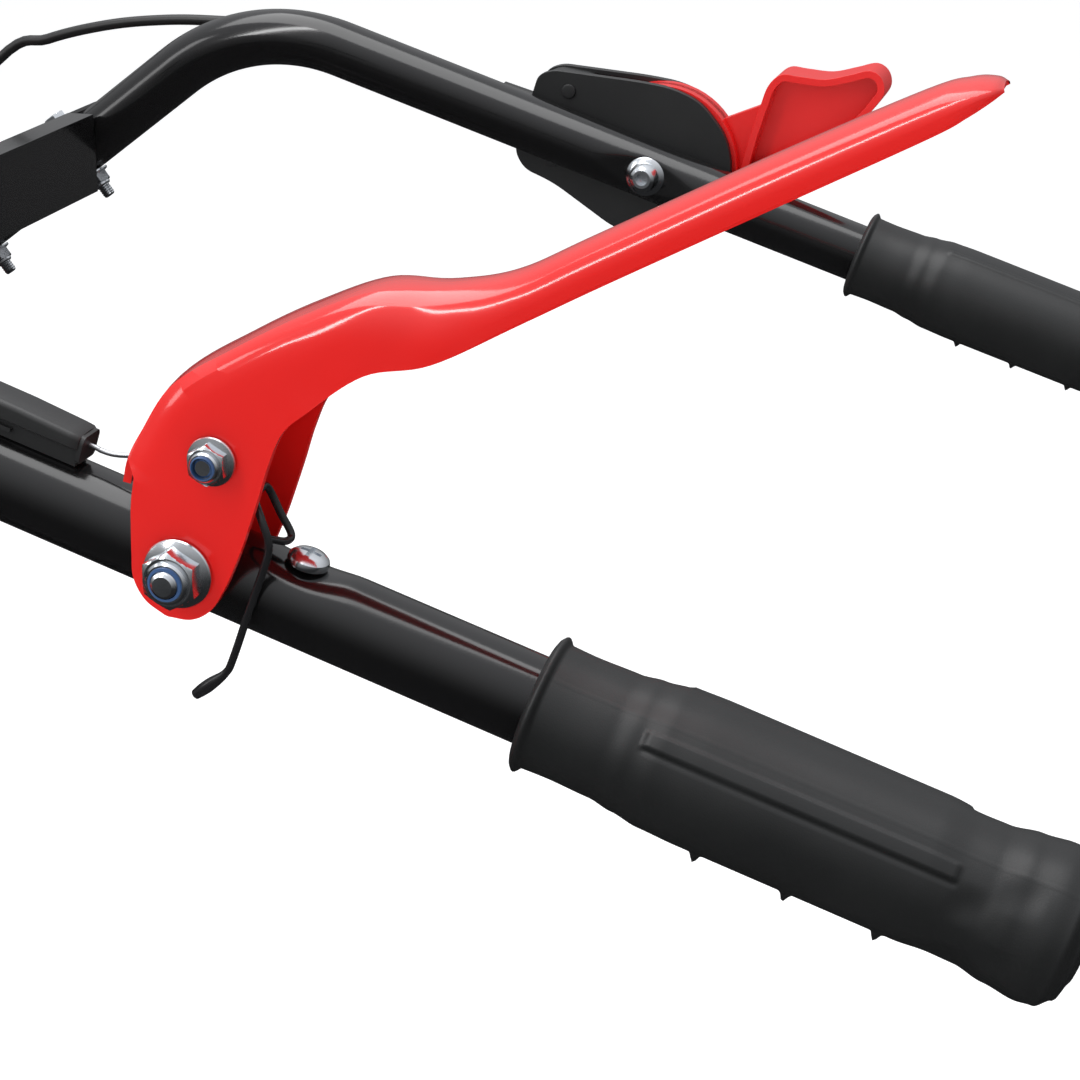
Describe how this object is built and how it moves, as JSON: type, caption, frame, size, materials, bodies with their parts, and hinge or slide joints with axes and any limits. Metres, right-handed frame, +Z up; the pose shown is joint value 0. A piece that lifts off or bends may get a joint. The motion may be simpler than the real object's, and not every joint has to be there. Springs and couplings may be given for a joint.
{
  "type": "two stage snowblower",
  "caption": "Walk-behind two stage snowblower: handlebar with a red control lever and a thumb paddle, engine, belt drive, wheels, auger housing, impeller and turning chute.",
  "frame": {"origin": "on the ground under the middle of the whole machine", "axes": "+X to the operator's left, -Y forwards towards the auger, +Z up"},
  "size_m": [0.636, 1.6074, 1.0728],
  "materials": {
    "black_powder_coat": "gloss black powder coat",
    "red_lacquer": "high gloss red lacquer",
    "housing_paint": "gloss red paint",
    "red_plastic": "satin red moulding",
    "grip_rubber": "matt moulded rubber",
    "black_plastic": "fine textured moulding",
    "cable_sheath": "smooth extruded sheath",
    "black_wire": "black coated spring wire",
    "zinc_plate": "bright zinc plate",
    "bare_steel": "machined steel",
    "cast_aluminium": "as cast",
    "tyre_rubber": "matt tyre rubber",
    "belt_rubber": "matt belt rubber"
  },
  "bodies": {
    "chassis": {"upper_handle_left": "black_powder_coat", "upper_handle_right": "black_powder_coat", "lower_handle_left": "black_powder_coat", "lower_handle_right": "black_powder_coat", "console_panel": "black_powder_coat", "frame": "black_powder_coat", "skid_left": "black_powder_coat", "skid_right": "black_powder_coat", "grip_left": "grip_rubber", "grip_right": "grip_rubber", "clutch_pivot_bolt": "zinc_plate", "guide_screw": "zinc_plate", "drive_lever_bolt": "zinc_plate", "console_bolt_left_1": "zinc_plate", "console_bolt_left_2": "zinc_plate", "console_bolt_right_1": "zinc_plate", "console_bolt_right_2": "zinc_plate", "return_spring": "black_wire", "cable_guide": "black_plastic", "drive_housing": "black_plastic", "belt_cover": "black_plastic", "recoil_cover": "black_plastic", "fuel_tank": "black_plastic", "carburettor_cover": "black_plastic", "clutch_cable": "cable_sheath", "drive_cable": "cable_sheath", "scraper_bar": "bare_steel", "muffler": "bare_steel", "engine_block": "cast_aluminium", "auger_gearbox": "cast_aluminium", "drive_belt": "belt_rubber", "auger_housing": "housing_paint", "side_plate_left": "housing_paint", "side_plate_right": "housing_paint", "impeller_drum": "housing_paint"},
    "clutch_lever": {"clutch_lever": "red_lacquer", "cable_pin": "zinc_plate"},
    "clutch_wire": {"clutch_wire": "bare_steel"},
    "drive_lever": {"drive_lever": "red_plastic"},
    "shift_lever": {"shift_lever": "black_powder_coat"},
    "chute": {"chute_ring": "black_plastic", "chute": "housing_paint"},
    "deflector": {"deflector": "housing_paint"},
    "crank": {"chute_crank": "black_powder_coat"},
    "wheels": {"axle": "bare_steel", "tyre_left": "tyre_rubber", "tyre_right": "tyre_rubber", "rim_left": "housing_paint", "rim_right": "housing_paint"},
    "friction_wheel": {"friction_wheel": "belt_rubber"},
    "drive_plate": {"drive_plate": "bare_steel"},
    "auger": {"auger_shaft": "bare_steel", "auger_left": "housing_paint", "auger_right": "housing_paint"},
    "impeller": {"impeller": "housing_paint", "impeller_pulley": "bare_steel"},
    "engine_pulley": {"engine_pulley": "bare_steel"},
    "recoil_grip": {"recoil_grip": "black_plastic"},
    "fuel_cap": {"fuel_cap": "black_plastic"},
    "choke": {"choke_knob": "red_plastic"}
  },
  "joints": [
    {"name": "clutch_lever_pivot", "type": "hinge", "parent": "chassis", "child": "clutch_lever", "pos_m": [0.253, 0.55577, 0.93238], "axis": [1, 0, 0], "range_deg": [-42, 0], "stiffness_Nm_per_rad": 1.2, "springref_deg": 28.65},
    {"name": "clutch_wire_pull", "type": "slide", "parent": "chassis", "child": "clutch_wire", "axis": [0, 0.9511, -0.309], "range_m": [0, 0.0225]},
    {"name": "drive_lever_pivot", "type": "hinge", "parent": "chassis", "child": "drive_lever", "pos_m": [-0.253, 0.555, 0.93], "axis": [1, 0, 0], "range_deg": [-25, 0], "stiffness_Nm_per_rad": 0.6, "springref_deg": 28.65},
    {"name": "shift_lever_pivot", "type": "hinge", "parent": "chassis", "child": "shift_lever", "pos_m": [0, 0.24612, 0.86584], "axis": [1, 0, 0], "range_deg": [-14, 14]},
    {"name": "chute_turn", "type": "hinge", "parent": "chassis", "child": "chute", "pos_m": [0, -0.4325, 0.362], "axis": [0, 0, 1], "range_deg": [-90, 90]},
    {"name": "deflector_tilt", "type": "hinge", "parent": "chute", "child": "deflector", "pos_m": [0, -0.4375, 0.762], "axis": [1, 0, 0], "range_deg": [0, 35]},
    {"name": "crank_turn", "type": "hinge", "parent": "chassis", "child": "crank", "pos_m": [0.13, 0.286, 0.924], "axis": [0.0416, 0.7966, 0.6031], "range_deg": [-360, 360]},
    {"name": "wheel_turn", "type": "hinge", "parent": "chassis", "child": "wheels", "pos_m": [0, -0.17, 0.165], "axis": [1, 0, 0], "continuous": true},
    {"name": "friction_wheel_turn", "type": "hinge", "parent": "chassis", "child": "friction_wheel", "pos_m": [0, -0.095, 0.215], "axis": [1, 0, 0], "continuous": true},
    {"name": "drive_plate_turn", "type": "hinge", "parent": "chassis", "child": "drive_plate", "pos_m": [0, -0.147, 0.215], "axis": [0, 1, 0], "continuous": true},
    {"name": "auger_turn", "type": "hinge", "parent": "chassis", "child": "auger", "pos_m": [0, -0.66, 0.185], "axis": [1, 0, 0], "continuous": true},
    {"name": "impeller_turn", "type": "hinge", "parent": "chassis", "child": "impeller", "pos_m": [0, -0.324, 0.185], "axis": [0, 1, 0], "continuous": true},
    {"name": "engine_pulley_turn", "type": "hinge", "parent": "chassis", "child": "engine_pulley", "pos_m": [0, -0.324, 0.445], "axis": [0, 1, 0], "continuous": true},
    {"name": "starter_pull", "type": "slide", "parent": "chassis", "child": "recoil_grip", "axis": [0, 0.8645, 0.5026], "range_m": [0, 0.3], "stiffness_N_per_m": 15, "springref_m": -0.3},
    {"name": "fuel_cap_turn", "type": "hinge", "parent": "chassis", "child": "fuel_cap", "pos_m": [-0.07, -0.209, 0.6865], "axis": [0, 0, 1], "range_deg": [0, 90]},
    {"name": "choke_turn", "type": "hinge", "parent": "chassis", "child": "choke", "pos_m": [0.1044, -0.209, 0.455], "axis": [1, 0, 0], "range_deg": [0, 75]}
  ],
  "couplings": [
    {"joint": "clutch_wire_pull", "follows": "clutch_lever_pivot", "m_per_rad": -0.03},
    {"joint": "crank_turn", "follows": "chute_turn", "ratio": 4},
    {"joint": "friction_wheel_turn", "follows": "wheel_turn", "ratio": 3},
    {"joint": "auger_turn", "follows": "impeller_turn", "ratio": 0.1},
    {"joint": "engine_pulley_turn", "follows": "impeller_turn", "ratio": 2.3684},
    {"joint": "drive_plate_turn", "follows": "impeller_turn", "ratio": 2.3684}
  ]
}
